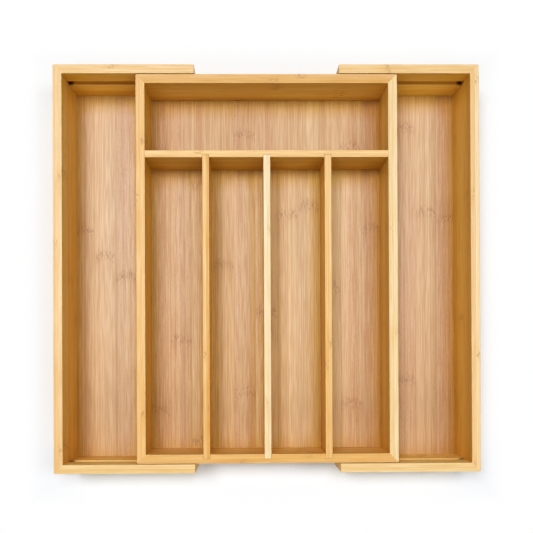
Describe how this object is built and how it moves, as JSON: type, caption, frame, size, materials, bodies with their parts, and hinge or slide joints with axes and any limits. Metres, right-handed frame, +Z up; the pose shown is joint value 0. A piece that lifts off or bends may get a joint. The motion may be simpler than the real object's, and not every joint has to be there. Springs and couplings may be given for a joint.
{
  "type": "expandable cutlery tray",
  "caption": "Bamboo drawer tray for cutlery, with a divided centre tray and side wings that slide out from under it to add compartments.",
  "frame": {"origin": "under the middle of the tray with both wings pulled out, on the surface it stands on", "axes": "+X right, the way the right wing pulls out; +Y to the back, where the cross compartment is; +Z up"},
  "size_m": [0.4514, 0.432, 0.064],
  "materials": {
    "wall_bamboo": "satin lacquer",
    "floor_bamboo": "satin lacquer",
    "divider_bamboo": "satin lacquer",
    "runner_bamboo": "bare, planed"
  },
  "bodies": {
    "centre_tray": {"back_wall": "wall_bamboo", "front_wall": "wall_bamboo", "left_wall": "wall_bamboo", "right_wall": "wall_bamboo", "centre_floor": "floor_bamboo", "cross_divider": "divider_bamboo", "left_divider": "divider_bamboo", "middle_divider": "divider_bamboo", "right_divider": "divider_bamboo", "back_left_runner": "runner_bamboo", "back_right_runner": "runner_bamboo", "front_left_runner": "runner_bamboo", "front_right_runner": "runner_bamboo"},
    "left_wing": {"left_wing_end": "wall_bamboo", "left_wing_back_arm": "wall_bamboo", "left_wing_front_arm": "wall_bamboo", "left_wing_floor": "floor_bamboo"},
    "right_wing": {"right_wing_end": "wall_bamboo", "right_wing_back_arm": "wall_bamboo", "right_wing_front_arm": "wall_bamboo", "right_wing_floor": "floor_bamboo"}
  },
  "joints": [
    {"name": "left_wing_slide", "type": "slide", "parent": "centre_tray", "child": "left_wing", "axis": [1, 0, 0], "range_m": [0, 0.0765]},
    {"name": "right_wing_slide", "type": "slide", "parent": "centre_tray", "child": "right_wing", "axis": [-1, 0, 0], "range_m": [0, 0.0765]}
  ]
}
